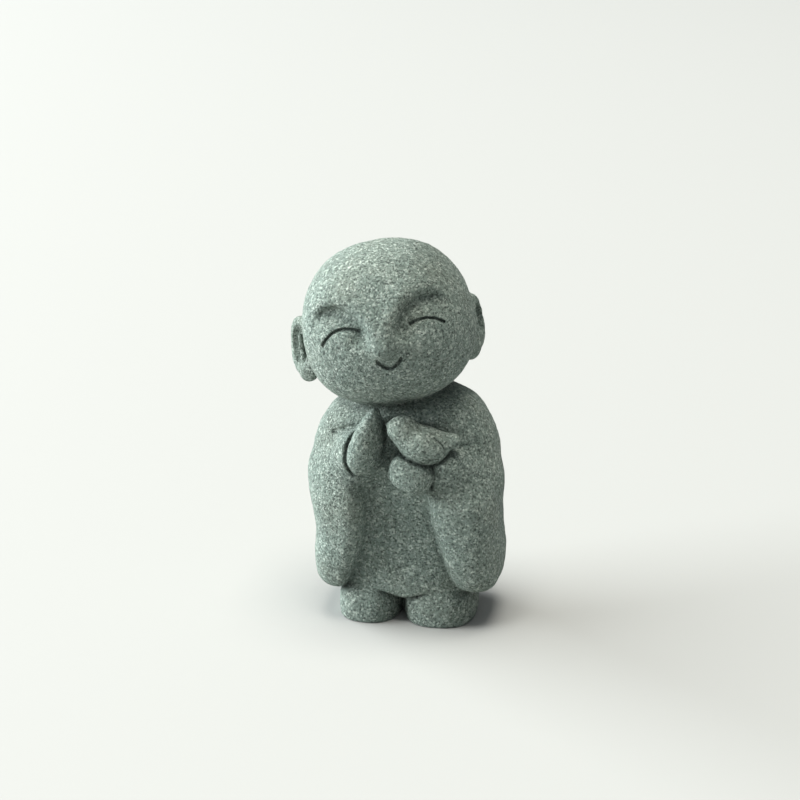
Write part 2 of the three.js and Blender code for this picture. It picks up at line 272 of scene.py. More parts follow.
@dataclass(frozen=True)
class Sizes:
    """The figure's main sizes in millimetres, all shares of its height."""

    height: float

    def of(self, share: float) -> float:
        """Turn a share of the height into millimetres."""
        return share * self.height

    @property
    def head_width(self) -> float:
        """Across the head, without the ears."""
        return self.of(0.445)

    @property
    def head_depth(self) -> float:
        """From the forehead to the back of the head."""
        return self.of(0.435)

    @property
    def head_rise(self) -> float:
        """From the head's centre to the crown."""
        return self.of(0.23125)

    @property
    def head_drop(self) -> float:
        """From the head's centre to the chin."""
        return self.of(0.185)

    @property
    def robe_width(self) -> float:
        """Across both sleeves."""
        return self.of(0.5)

    @property
    def robe_depth(self) -> float:
        """From the sleeves' front to the back."""
        return self.of(0.375)

    @property
    def hem_height(self) -> float:
        """From the soles to the hem."""
        return self.of(0.08875)

    @property
    def cuff_height(self) -> float:
        """From the soles to the wrists."""
        return self.of(0.45)

    @property
    def neck_height(self) -> float:
        """From the soles to where the robe ends under the head."""
        return self.height - self.head_rise - 0.8 * self.head_drop

    @property
    def slit_width(self) -> float:
        """Across the cut lines of the eyes and mouth."""
        return self.of(0.0072)


@dataclass(frozen=True)
class Arc:
    """A cut line of the face, in hundredths of the head's width."""

    x: float
    z: float
    half: float
    sag: float
    tilt: float

    def distance(self, x: Array, z: Array) -> Array:
        """Measure the distance to the arc across the face.

        Args:
            x: Places across the face.
            z: Places up the face.

        Returns:
            Distances in hundredths of the head's width.
        """
        tilt = np.radians(self.tilt)
        u = (x - self.x) * np.cos(tilt) + (z - self.z) * np.sin(tilt)
        v = -(x - self.x) * np.sin(tilt) + (z - self.z) * np.cos(tilt)
        held = np.clip(u, -self.half, self.half)
        curve = self.sag * (1 - (held / self.half) ** 2)
        slope = -2 * self.sag * held / self.half ** 2
        return np.hypot(u - held, (v - curve) / np.sqrt(1 + slope ** 2))


@dataclass(frozen=True)
class Ear:
    """One ear's place on the head and the shape of its hollow.

    Attributes:
        side: -1 for the right ear, 1 for the left.
        out: How far out it stands, as a share of the head's width.
        drop: How far up it stands from the head's centre, in the same shares.
        flare: How far it stands off the head, in degrees.
        lean: How far its top leans outwards, in degrees.
        rear: How far back its hollow lies, as a share of half the ear's length.
        long: The hollow's length, in the same shares.
        tall: The hollow's height, as a share of half the ear's height.
    """

    side: int
    out: float
    drop: float
    flare: float
    lean: float
    rear: float
    long: float
    tall: float


class Head:
    """The bald head: a squarish round skull with nose, brows, cut eyes, mouth and long ears."""

    squareness = 2.3
    eyes = (Arc(-23.6, 9.5, 11.7, 4.9, 15), Arc(25.8, 10.9, 9.3, 3.0, -10))
    mouth = Arc(2.0, -4.8, 6.5, -4.9, -3)
    ears = (Ear(-1, 0.518, -0.055, 33, -4, -0.08, 0.66, 0.7),
            Ear(1, 0.456, -0.072, 27, 5, 0.5, 0.32, 0.52))
    slit_depth = 0.8
    brow_share = 0.0265
    nose_share = 0.0285

    def __init__(self, sizes: Sizes) -> None:
        self.sizes = sizes
        self.place = Place(-0.115 * sizes.robe_width, -0.033 * sizes.robe_depth,
                           sizes.height - sizes.head_rise, 7, -2, -10)
        self.unit = sizes.head_width / 100

    def brows(self, x: Array, z: Array) -> Array:
        """Depth of the hollows round the eyes, steep under the brow and gentle over the lid.

        Args:
            x: Places across the face, in hundredths of the head's width.
            z: Places up the face, in the same unit.

        Returns:
            Depths in millimetres, below zero on the low ridge above each brow.
        """
        out, up, width, height = 25.5, 2.0, 16.5, 22.5
        above, below = 2.6, 7.5
        ridge, ridge_rise, ridge_band = 0.2, 7.0, 4.0
        depth = np.zeros_like(x)
        for side in (-1, 1):
            u = (side * x - out) / width
            v = (z - up) / height
            away = (np.hypot(u, v) - 1) * width
            angle = np.degrees(np.arctan2(v, u))
            fade = smoothstep(angle, 20, 100) * (1 - smoothstep(angle, 152, 180))
            band = np.where(away > 0, above, below)
            depth += fade * np.exp(-((away / band) ** 2))
            depth -= ridge * fade * np.exp(-(((away - ridge_rise) / ridge_band) ** 2))
        return self.sizes.of(self.brow_share) * depth

    def nose(self, x: Array, z: Array) -> Array:
        """Height of the nose: a bridge with steep sides and a round tip.

        Args:
            x: Places across the face, in hundredths of the head's width.
            z: Places up the face, in the same unit.

        Returns:
            Heights in millimetres.
        """
        share = np.clip((z + 3) / 25, 0, 1)
        width = 8.2 - 1.4 * share
        along = 1 / (1 + np.exp(-(z + 1.8) / 1.8)) / (1 + np.exp((z - 20) / 3.4))
        bridge = (0.64 - 0.26 * share) * np.exp(-(np.abs(x / width) ** 2.6)) * along
        tip = 0.36 * np.exp(-((x / 7.0) ** 2) - ((z - 2.6) / 5.2) ** 2)
        return self.sizes.of(self.nose_share) * (bridge + tip)

    def slits(self, x: Array, z: Array) -> Array:
        """Depth of the cut lines of the eyes and mouth.

        Args:
            x: Places across the face, in hundredths of the head's width.
            z: Places up the face, in the same unit.

        Returns:
            Depths in millimetres.
        """
        half = 0.5 * self.sizes.slit_width / self.unit
        depth = np.zeros_like(x)
        for arc in (*self.eyes, self.mouth):
            depth = np.maximum(depth, np.exp(-((arc.distance(x, z) / half) ** 3)))
        return self.slit_depth * depth

    def skull(self, q: Array) -> Array:
        """Measure the skull with its face.

        Args:
            q: Points in the head's own frame.

        Returns:
            Signed distances.
        """
        drop = np.where(q[..., 2] > 0, self.sizes.head_rise, self.sizes.head_drop)
        round_form = ellipsoid(q, self.sizes.head_width / 2, self.sizes.head_depth / 2, drop,
                               self.squareness)
        front = np.clip(-q[..., 1] / (17 * self.unit), 0, 1)
        x = q[..., 0] / self.unit
        z = q[..., 2] / self.unit
        return round_form - front * (self.nose(x, z) - self.brows(x, z) - self.slits(x, z))

    def ear(self, q: Array, ear: Ear) -> Array:
        """Measure one ear: a disc with a hollow, a ridge and a heavy lobe.

        Args:
            q: Points in the head's own frame.
            ear: Which ear.

        Returns:
            Signed distances.
        """
        width, depth = self.sizes.head_width, self.sizes.head_depth
        place = Place(ear.side * ear.out * width, 0.07 * depth, ear.drop * width,
                      -ear.side * ear.flare, 10, ear.side * ear.lean)
        e = place.within(q) * np.array([ear.side, 1, 1])
        half = np.array([0.0219, 0.06, 0.0835]) * self.sizes.height
        t, l, h = half
        disc = ellipsoid(e, t, l, h, 2.8)
        scooped = e - np.array([1.08, ear.rear, 0.16]) * half
        hollow = ellipsoid(scooped, 1.15 * t, ear.long * l, ear.tall * h)
        low, high = np.array([[0.42, -0.14, -0.34], [0.3, 0.22, 0.36]]) * half
        ridge = limb(e, low, high, 0.36 * t, 0.3 * t)
        lobe = ellipsoid(e - np.array([0.06, -0.22, -0.72]) * half, 1.08 * t, 0.54 * l, 0.34 * h)
        return blend(blend(carve(disc, hollow, 0.25 * t), ridge, 0.25 * t), lobe, 0.5 * t)

    def distance(self, p: Array) -> Array:
        """Measure the whole head.

        Args:
            p: Points in millimetres.

        Returns:
            Signed distances.
        """
        q = self.place.within(p)
        skull = self.skull(q)
        right, left = (self.ear(q, ear) for ear in self.ears)
        return blend(skull, np.minimum(right, left), self.sizes.of(0.006))


@dataclass(frozen=True)
class Crease:
    """A cut or folded line on the robe's front, through places across and up, in millimetres."""

    points: Array
    width: float
    depth: float

    def cut(self, p: Array) -> Array:
        """Depth of the crease at each point."""
        away = line_distance(p[..., ::2], self.points)
        return self.depth * smoothstep(-p[..., 1], 0.0, 4.0) * np.exp(-((away / self.width) ** 2))


class Robe:
    """The robe: a trunk that hangs straight to the hem, and a long sleeve on either side.

    The profiles run up the robe by shares of its height. Widths are shares of the robe's width,
    depths are shares of its depth. The slants say how far each sleeve's front falls back outwards.
    """

    lean = Profile((0.09, 0.005), (0.26, 0.007), (0.4, 0.003), (0.51, -0.012), (0.63, -0.025),
                   (0.75, -0.027), (0.85, -0.022), (0.94, -0.008), (1, 0))
    trunk_half = Profile((0.09, 0.415), (0.24, 0.41), (0.4, 0.43), (0.57, 0.475), (0.69, 0.495),
                         (0.77, 0.48), (0.85, 0.438), (0.93, 0.368), (1, 0.26))
    trunk_front = Profile((0.09, 0.433), (0.24, 0.415), (0.45, 0.405), (0.69, 0.41), (0.77, 0.392),
                          (0.85, 0.385), (0.93, 0.33), (1, 0.22))
    trunk_back = Profile((0.09, 0.467), (0.4, 0.483), (0.69, 0.48), (0.77, 0.46), (0.85, 0.415),
                         (0.93, 0.34), (1, 0.265))
    sleeve_outer = Profile((0.09, 0.455), (0.18, 0.492), (0.28, 0.5), (0.4, 0.49), (0.55, 0.5),
                           (0.69, 0.5))
    sleeve_inner = Profile((0.09, 0.32), (0.18, 0.275), (0.28, 0.23), (0.4, 0.185), (0.55, 0.16),
                           (0.69, 0.155))
    sleeve_front = Profile((0.09, 0.33), (0.18, 0.435), (0.28, 0.5), (0.4, 0.52), (0.55, 0.53),
                           (0.69, 0.5))
    sleeve_back = Profile((0.09, 0.167), (0.18, 0.233), (0.28, 0.267), (0.55, 0.3), (0.69, 0.3))
    right_slant = 0.42
    left_slant = 0.08

    def __init__(self, sizes: Sizes) -> None:
        self.sizes = sizes
        shoulder = [(-0.186, 0.511), (-0.17, 0.519), (-0.15, 0.529), (-0.13, 0.533)]
        cuff = [(0.085, 0.471), (0.085, 0.437), (0.08, 0.404)]
        fold = [(0.09, 0.476), (0.114, 0.491), (0.142, 0.496), (0.18, 0.499)]
        self.creases = [
            Crease(np.array(shoulder) * sizes.height, sizes.of(0.0065), sizes.of(0.0075)),
            Crease(np.array(cuff) * sizes.height, sizes.of(0.0045), sizes.of(0.006)),
            Crease(np.array(fold) * sizes.height, sizes.of(0.008), sizes.of(0.005)),
        ]

    def lean_at(self, z: Array) -> Array:
        """How far the robe's axis leans across at a height."""
        return self.lean(z / self.sizes.neck_height) * self.sizes.robe_width

    def trunk(self, p: Array) -> Array:
        """Measure the trunk down to the hem, which dips between the feet.

        Args:
            p: Points in millimetres.

        Returns:
            Signed distances.
        """
        s = self.sizes
        z = p[..., 2]
        t = z / s.neck_height
        x = p[..., 0] - self.lean_at(z)
        half = self.trunk_half(t) * s.robe_width
        front, back = self.trunk_front(t) * s.robe_depth, self.trunk_back(t) * s.robe_depth
        round_form = section(x, p[..., 1], half, front, back, 2.4)
        share = np.exp(-(((p[..., 0] - 0.01 * s.robe_width) / (0.08 * s.robe_width)) ** 2))
        dip = 0.15 * s.hem_height * share * np.clip(-p[..., 1] / (0.2 * s.robe_depth), 0, 1)
        return carve(carve(round_form, z - s.hem_height + dip, 0.8), s.neck_height - z, 5.0)

    def sleeve(self, p: Array, side: int) -> Array:
        """Measure one hanging sleeve with the forearm that fills it.

        Args:
            p: Points in millimetres.
            side: -1 for the right sleeve, 1 for the left.

        Returns:
            Signed distances.
        """
        s = self.sizes
        slant = self.right_slant if side < 0 else self.left_slant
        z = p[..., 2]
        t = z / s.neck_height
        axis = -0.1 * s.robe_depth
        outer = self.sleeve_outer(t) * s.robe_width
        inner = (self.sleeve_inner(t) - (0.03 if side > 0 else 0.0)) * s.robe_width
        x = p[..., 0] - self.lean_at(z) - side * (outer + inner) / 2
        front = self.sleeve_front(t) * s.robe_depth + axis
        back = self.sleeve_back(t) * s.robe_depth - axis
        ahead = np.clip((axis - p[..., 1]) / front, 0, 1)
        y = p[..., 1] - axis - slant * ahead * side * x
        round_form = section(x, y, (outer - inner) / 2, front, back, 2.8)
        bottom = s.hem_height * (1.0 if side > 0 else 0.8)
        hanging = carve(carve(round_form, z - bottom, 4.0), 0.94 * s.cuff_height - z, 8.0)
        bend = 0.875 * s.cuff_height
        lean = float(self.lean_at(np.array(bend)))
        elbow = np.array([side * 0.33 * s.robe_width + lean, -0.067 * s.robe_depth, bend])
        rise, radius = (1.05, 0.135) if side < 0 else (1.0, 0.12)
        wrist = np.array([side * 0.218 * s.robe_width, -0.36 * s.robe_depth, rise * s.cuff_height])
        forearm = limb(p, elbow, wrist, 0.17 * s.robe_width, radius * s.robe_width)
        return blend(hanging, forearm, 4.5)

    def distance(self, p: Array) -> Array:
        """Measure the robe with both sleeves.

        Args:
            p: Points in millimetres.

        Returns:
            Signed distances.
        """
        level = np.clip(p[..., 2] / self.sizes.cuff_height, 0, 1)
        softness = self.sizes.of(0.0125) * (0.4 + 0.6 * level)
        robe = blend(self.trunk(p), self.sleeve(p, -1), softness)
        robe = blend(robe, self.sleeve(p, 1), softness)
        for crease in self.creases:
            robe = robe + crease.cut(p)
        return robe


class Feet:
    """Two broad rounded feet, side by side under the hem, flat below."""

    def __init__(self, sizes: Sizes) -> None:
        self.sizes = sizes

    def distance(self, p: Array) -> Array:
        """Measure both feet.

        Args:
            p: Points in millimetres.

        Returns:
            Signed distances.
        """
        s = self.sizes
        width, length, height = s.of(0.1825), s.of(0.2725), s.of(0.115)
        both = None
        for side, out, half in ((-1, -0.51, 0.472), (1, 0.48, 0.54)):
            place = Place(out * width, -0.1 * s.robe_depth, 0.26 * height, side * 4)
            foot = ellipsoid(place.within(p), half * width, length / 2, 0.74 * height, 2.6)
            both = foot if both is None else blend(both, foot, s.of(0.004))
        return carve(both, p[..., 2], s.of(0.006))


class Hands:
    """The raised right hand, a closed leaf shape, and the cupped left hand."""

    def __init__(self, sizes: Sizes) -> None:
        self.sizes = sizes
        width, cuff = sizes.robe_width, sizes.cuff_height
        front = -0.435 * sizes.robe_depth
        self.raised = Place(-0.176 * width, front, 1.139 * cuff, -25, -6, 11)
        self.cupped = Place(0.06 * width, 1.1 * front, 0.975 * cuff, 0, 0, 24)

    def raised_distance(self, p: Array) -> Array:
        """Measure the raised hand, which narrows to its fingertips.

        Args:
            p: Points in millimetres.

        Returns:
            Signed distances.
        """
        q = self.raised.within(p)
        half = self.sizes.of(0.095)
        width = self.sizes.of(0.10625)
        taper = np.clip(1 - 0.37 * q[..., 2] / half, 0.5, 1.25)
        even = np.stack([q[..., 0] / taper, q[..., 1] / taper, q[..., 2]], -1)
        return ellipsoid(even, 0.36 * width, width / 2, half)

    def cupped_distance(self, p: Array) -> Array:
        """Measure the cupped hand, a rounded block with its finger tips inwards and above.

        Args:
            p: Points in millimetres.

        Returns:
            Signed distances.
        """
        q = self.cupped.within(p)
        half = self.sizes.of(0.05375)
        palm = ellipsoid(q, 1.08 * half, 0.96 * half, 0.86 * half, 2.7)
        folded = q - np.array([-0.72, -0.3, 0.2]) * half
        tips = ellipsoid(folded, 0.4 * half, 0.5 * half, 0.46 * half)
        return blend(palm, tips, 0.12 * half)


class Bird:
    """The little bird: round head, full body, folded wing and blunt tail."""

    def __init__(self, sizes: Sizes, hand: Place) -> None:
        self.length = sizes.of(0.21875)
        rise = sizes.of(0.080625)
        self.perch = hand.centre + np.array([0.12 * self.length, 0.02 * self.length, rise])

    def part(self, x: float, y: float, z: float, yaw: float, roll: float) -> Place:
        """Place a part of the bird by shares of its length from its middle."""
        return Place(*(self.perch + self.length * np.array([x, y, z])), yaw, 0, roll)

    def distance(self, p: Array) -> Array:
        """Measure the bird.

        Args:
            p: Points in millimetres.

        Returns:
            Signed distances.
        """
        b = self.length
        trunk = self.part(0.01, 0, -0.012, 8, 14).within(p)
        body = ellipsoid(trunk, 0.3 * b, 0.23 * b, 0.232 * b)
        skull = self.part(-0.235, -0.02, 0.168, 0, 0).within(p)
        head = ellipsoid(skull, 0.18 * b, 0.17 * b, 0.168 * b)
        beak = self.stretch(p, (-0.34, -0.03, 0.2), (-0.425, -0.03, 0.222), 0.055, 0.014)
        tail = self.stretch(p, (0.08, 0.03, 0.0), (0.36, 0.05, 0.04), 0.165, 0.088)
        bare = blend(blend(blend(body, head, 0.1 * b), beak, 0.03 * b), tail, 0.06 * b)
        q = self.part(0.05, -0.145, 0.012, -2, 14).within(p)
        taper = np.clip(1 - 0.7 * q[..., 0] / b, 0.75, 1.15)
        even = np.stack([q[..., 0], q[..., 1], q[..., 2] / taper], -1)
        wing = ellipsoid(even, 0.24 * b, 0.1 * b, 0.138 * b)
        rearward = smoothstep(q[..., 0], -0.02 * b, 0.1 * b)
        rimmed = bare + 0.022 * b * rearward * np.exp(-((wing / (0.022 * b)) ** 2))
        return blend(rimmed, wing, (0.06 - 0.05 * rearward) * b)

    def stretch(self, p: Array, a: tuple, b: tuple, ra: float, rb: float) -> Array:
        """Measure a tapered stretch of the bird, all in shares of its length.

        Args:
            p: Points in millimetres.
            a: One end, from the bird's middle.
            b: The other end.
            ra: Radius at the first end.
            rb: Radius at the other end.

        Returns:
            Signed distances.
        """
        start = self.perch + self.length * np.array(a)
        end = self.perch + self.length * np.array(b)
        return limb(p, start, end, ra * self.length, rb * self.length)


class Figurine:
    """The whole casting, joined from its parts."""

    def __init__(self, sizes: Sizes) -> None:
        self.sizes = sizes
        self.head = Head(sizes)
        self.robe = Robe(sizes)
        self.feet = Feet(sizes)
        self.hands = Hands(sizes)
        self.bird = Bird(sizes, self.hands.cupped)

    def distance(self, p: Array) -> Array:
        """Measure the figure.

        Args:
            p: Points in millimetres, from the middle between the feet.

        Returns:
            Signed distances, negative inside.
        """
        of = self.sizes.of
        body = blend(self.robe.distance(p), self.feet.distance(p), of(0.005))
        raised = self.hands.raised_distance(p)
        held = self.hands.raised.within(p)
        cuffward = 0.25 + 0.75 * smoothstep(-held[..., 0], of(-0.02), of(0.015))
        upward = 0.3 + 0.7 * smoothstep(held[..., 2], of(-0.1), of(-0.066))
        body = body + of(0.015) * cuffward * upward * np.exp(-((raised / of(0.0068)) ** 2))
        body = blend(body, raised, of(0.003))
        melt = 1 - smoothstep(self.hands.cupped.within(p)[..., 2], of(-0.035), of(0.0))
        body = blend(body, self.hands.cupped_distance(p), of(0.006) + of(0.03) * melt)
        bird = self.bird.distance(p)
        body = body + of(0.006) * np.exp(-((bird / of(0.0065)) ** 2))
        body = blend(body, bird, of(0.0025))
        return blend(body, self.head.distance(p), of(0.012))


# Skin

class LatticeNoise:
    """Smooth seeded noise on a repeating lattice, from -1 to 1."""

    size = 32

    def __init__(self, seed: int, wavelength: float) -> None:
        self.wavelength = wavelength
        self.values = np.random.default_rng(seed).uniform(-1, 1, (self.size,) * 3)

    def __call__(self, p: Array) -> Array:
        """Read the noise.

        Args:
            p: Points in millimetres.

        Returns:
            One value a point.
        """
        q = p / self.wavelength
        low = np.floor(q).astype(int)
        f = q - low
        f = f * f * (3 - 2 * f)
        total = np.zeros(len(p))
        for corner in np.ndindex(2, 2, 2):
            weight = np.prod(np.where(np.array(corner) == 1, f, 1 - f), axis=1)
            i, j, k = ((low + corner) % self.size).T
            total += weight * self.values[i, j, k]
        return total


@dataclass
class Skin:
    """A mesh of four-sided faces laid on a distance field."""

    field: Field
    points: Array = field(default_factory=lambda: np.zeros((0, 3)))
    faces: list[tuple[int, ...]] = field(default_factory=list)

    def gradient(self, p: Array, step: float = 0.05) -> Array:
        """Measure the way out of the form at each point.

        Args:
            p: Points in millimetres.
            step: How far apart the readings are taken.

        Returns:
            One vector a point, about 1 long.
        """
        here = self.field(p)
        there = [self.field(p + offset) for offset in step * np.eye(3)]
        return np.stack([(value - here) / step for value in there], -1)

    def outward(self, step: float = 0.05) -> Array:
        """Find the unit way out of the form at each of the skin's points.

        Args:
            step: How far apart the readings are taken.

        Returns:
            One unit vector a point.
        """
        slope = self.gradient(self.points, step)
        return slope / np.maximum(np.linalg.norm(slope, axis=-1, keepdims=True), TINY)

    def shelter(self, reach: float) -> Array:
        """Measure how far each point lies in a hollow.

        Args:
            reach: How far out from the skin the form around is felt, in millimetres.

        Returns:
            One value a point: 0 in the open, 1 deep in a cut.
        """
        lifted = self.points + reach * self.outward()
        return np.clip(1 - self.field(lifted) / reach, 0.0, 1.0)

    def settle(self, rounds: int) -> None:
        """Draw the points onto the field's surface.

        Args:
            rounds: How often they are drawn.
        """
        for _ in range(rounds):
            slope = self.gradient(self.points)
            square = np.maximum((slope * slope).sum(-1), 0.25)
            move = np.clip(self.field(self.points) / square, -0.4, 0.4)
            self.points = self.points - slope * move[:, None]

    def relax(self, share: float = 0.5) -> None:
        """Even out the faces by drawing each point towards its neighbours.

        Args:
            share: How much of the way to their middle it goes.
        """
        corners = np.array(self.faces)
        total = np.zeros_like(self.points)
        count = np.zeros(len(self.points))
        for i in range(4):
            here, there = corners[:, i], corners[:, (i + 1) % 4]
            np.add.at(total, here, self.points[there])
            np.add.at(total, there, self.points[here])
            np.add.at(count, here, 1)
            np.add.at(count, there, 1)
        self.points = self.points + share * (total / count[:, None] - self.points)

    def lay(self, low: Array, high: Array, cell: float) -> None:
        """Lay the faces on a grid.

        Each cell that the surface crosses gets a point, and each crossed edge a face round it.
        A coarse reading first tells which part of the grid lies near the surface.

        Args:
            low: The lowest corner of the box to search.
            high: The highest corner.
            cell: The grid's spacing.
        """
        counts = np.ceil((high - low) / cell).astype(int) + 1
        wide = 3
        coarse = -(-counts // wide) + 1
        middles = low + cell * (wide * np.indices(coarse).reshape(3, -1).T + (wide - 1) / 2)
        rough = self.field(middles).reshape(coarse)
        for axis in range(3):
            rough = rough.repeat(wide, axis)
        values = rough[:counts[0], :counts[1], :counts[2]].copy()
        near = np.stack(np.nonzero(np.abs(values) < 2.4 * wide * cell), -1)
        values[tuple(near.T)] = self.field(low + cell * near)
        inside = values < 0
        cells = tuple(n - 1 for n in counts)
        total = np.zeros(cells + (3,))
        hits = np.zeros(cells)
        for axis in range(3):
            others = [a for a in range(3) if a != axis]
            for shift in np.ndindex(2, 2):
                start = [slice(0, cells[a]) for a in range(3)]
                for other, s in zip(others, shift):
                    start[other] = slice(s, s + cells[other])
                end = list(start)
                end[axis] = slice(1, cells[axis] + 1)
                a, b = values[tuple(start)], values[tuple(end)]
                crossed = (a < 0) != (b < 0)
                share = np.where(crossed, a / np.where(crossed, a - b, 1), 0)
                place = np.zeros(cells + (3,))
                place[..., axis] = share
                for other, s in zip(others, shift):
                    place[..., other] = s
                total += np.where(crossed[..., None], place, 0)
                hits += crossed
        used = hits > 0
        number = np.full(cells, -1)
        number[used] = np.arange(used.sum())
        corner = np.stack(np.nonzero(used), -1)
        self.points = low + cell * (corner + total[used] / hits[used][:, None])
        self.faces = []
        for axis in range(3):
            self._faces_across(axis, inside, number)

    def _faces_across(self, axis: int, inside: Array, number: Array) -> None:
        """Add the faces round the crossed grid edges that run along one axis.

        Args:
            axis: 0, 1 or 2.
            inside: Whether each grid corner lies inside the form.
            number: Each cell's point, or -1.
        """
        b, c = [(axis + 1) % 3, (axis + 2) % 3]
        start = [slice(1, -1)] * 3
        start[axis] = slice(0, -1)
        end = list(start)
        end[axis] = slice(1, None)
        first, second = inside[tuple(start)], inside[tuple(end)]
        for leaving in (True, False):
            found = np.stack(np.nonzero((first == leaving) & (second != leaving)), -1)
            at = found + np.array([0 if a == axis else 1 for a in range(3)])
            step_b, step_c = np.eye(3, dtype=int)[b], np.eye(3, dtype=int)[c]
            ring = [at - step_b - step_c, at - step_c, at, at - step_b]
            quads = np.stack([number[tuple(r.T)] for r in ring], -1)
            if not leaving:
                quads = quads[:, ::-1]
            self.faces.extend(map(tuple, quads.tolist()))

    def corners(self) -> list[list[int]]:
        """List the faces' corners, for Blender."""
        return [list(face) for face in self.faces]

    def refine(self, turn: float) -> None:
        """Split in four each face across which the surface turns sharply.

        Args:
            turn: The least turn between two corners of a face to be split, in degrees.
        """
        normal = self.outward(0.03)
        mesh = bmesh.new()
        verts = [mesh.verts.new(point) for point in self.points.tolist()]
        for face in self.faces:
            mesh.faces.new([verts[i] for i in face])
        mesh.verts.index_update()
        limit = np.cos(np.radians(turn))
        split = set()
        for face in mesh.faces:
            ring = normal[[v.index for v in face.verts]]
            if (ring @ ring.T).min() < limit:
                split.update(face.edges)
        bmesh.ops.subdivide_edges(mesh, edges=list(split), cuts=1, use_grid_fill=True)
        mesh.verts.index_update()
        self.points = np.array([v.co[:] for v in mesh.verts])
        self.faces = [tuple(v.index for v in face.verts) for face in mesh.faces]
        mesh.free()
        LOG.info("refined at %s degrees: %s faces", turn, len(self.faces))


@dataclass(frozen=True)
class Grain:
    """The sand that shows in the cast skin, as relief in the mesh, in millimetres."""

    coarse: float = 2.4
    fine: float = 1.15
    coarse_height: float = 0.05
    fine_height: float = 0.09
    flat_below: float = 0.5

    def raise_on(self, skin: Skin) -> None:
        """Move the skin's points in and out by the grain, but leave the soles flat.

        Args:
            skin: The skin to move.
        """
        normal = skin.outward()
        height = self.coarse_height * LatticeNoise(11, self.coarse)(skin.points)
        height += self.fine_height * LatticeNoise(12, self.fine)(skin.points)
        height *= smoothstep(skin.points[:, 2], 0.05, self.flat_below)
        skin.points = skin.points + normal * height[:, None]


# Finish

class Nodes:
    """A short way to write a material's node tree."""

    def __init__(self, name: str) -> None:
        self.material = bpy.data.materials.new(name)
        self.material.use_nodes = True
        self.tree = self.material.node_tree
        self.tree.nodes.clear()
        self.place = self.add("ShaderNodeTexCoord").outputs["Object"]

    def add(self, kind: str, **settings: object) -> bpy.types.Node:
        """Add a node with its settings.

        Args:
            kind: The node's type name.
            settings: Its properties.

        Returns:
            The node.
        """
        node = self.tree.nodes.new(kind)
        for name, value in settings.items():
            setattr(node, name, value)
        return node

    def feed(self, node: bpy.types.Node, **inputs: object) -> bpy.types.Node:
        """Set or link a node's inputs, whose names are written with _ for a space.

        Args:
            node: The node.
            inputs: A value or another node's output for each input.

        Returns:
            The node.
        """
        for name, value in inputs.items():
            socket = node.inputs[name.replace("_", " ")]
            if isinstance(value, bpy.types.NodeSocket):
                self.tree.links.new(value, socket)
            else:
                socket.default_value = value
        return node

    def noise(self, size: float, detail: float, roughness: float = 0.55) -> bpy.types.NodeSocket:
        """Add noise.

        Args:
            size: How large its features are, in metres.
            detail: How many finer layers it has.
            roughness: How strong they are.

        Returns:
            The noise's output.
        """
        node = self.add("ShaderNodeTexNoise")
        self.feed(node, Vector=self.place, Scale=1 / size, Detail=detail, Roughness=roughness)
        return node.outputs["Fac"]

    def cells(self, size: float, seed_shift: float = 0.0) -> bpy.types.Node:
        """Add cells, each with a colour of its own.

        Args:
            size: How wide they are, in metres.
            seed_shift: Moves them, so that two sets differ.

        Returns:
            The node.
        """
        shift = self.add("ShaderNodeVectorMath", operation="ADD")
        self.feed(shift, Vector=self.place)
        shift.inputs[1].default_value = (seed_shift,) * 3
        node = self.add("ShaderNodeTexVoronoi")
        return self.feed(node, Vector=shift.outputs[0], Scale=1 / size, Randomness=1.0)

    def ramp(self, source: bpy.types.NodeSocket,
             stops: Sequence[tuple[float, tuple]]) -> bpy.types.NodeSocket:
        """Add a colour ramp.

        Args:
            source: What it is read by.
            stops: Rows of (place, colour).

        Returns:
            The colour's output.
        """
        node = self.add("ShaderNodeValToRGB")
        band = node.color_ramp
        while len(band.elements) < len(stops):
            band.elements.new(1.0)
        for element, (at, colour) in zip(band.elements, stops):
            element.position = at
            element.color = colour if len(colour) == 4 else (*colour, 1.0)
        self.tree.links.new(source, node.inputs["Fac"])
        return node.outputs["Color"]

    def mix(self, share: object, a: object, b: object) -> bpy.types.NodeSocket:
        """Mix two colours.

        Args:
            share: How much of the second colour shows, a value or another node's output.
            a: The first colour.
            b: The second colour.

        Returns:
            The mixed colour's output.
        """
        node = self.add("ShaderNodeMix", data_type="RGBA")
        for socket, value in ((node.inputs[0], share), (node.inputs[6], a), (node.inputs[7], b)):
            if isinstance(value, bpy.types.NodeSocket):
                self.tree.links.new(value, socket)
            else:
                socket.default_value = value
        return node.outputs[2]

    def bump(self, height: bpy.types.NodeSocket, distance: float, strength: float,
             normal: bpy.types.NodeSocket | None = None) -> bpy.types.NodeSocket:
        """Bump the surface by a height.

        Args:
            height: The height's output.
            distance: How far it stands out at most, in metres.
            strength: Its share.
            normal: Another bump below it, if there is one.

        Returns:
            The bent normal's output.
        """
        node = self.add("ShaderNodeBump")
        self.feed(node, Height=height, Distance=distance, Strength=strength)
        if normal is not None:
            self.tree.links.new(normal, node.inputs["Normal"])
        return node.outputs["Normal"]

    def finish(self, **inputs: object) -> bpy.types.Material:
        """Close the tree with a surface shader.

        Args:
            inputs: The shader's inputs.

        Returns:
            The material.
        """
        shader = self.feed(self.add("ShaderNodeBsdfPrincipled"), **inputs)
        output = self.add("ShaderNodeOutputMaterial")
        self.tree.links.new(shader.outputs["BSDF"], output.inputs["Surface"])
        return self.material


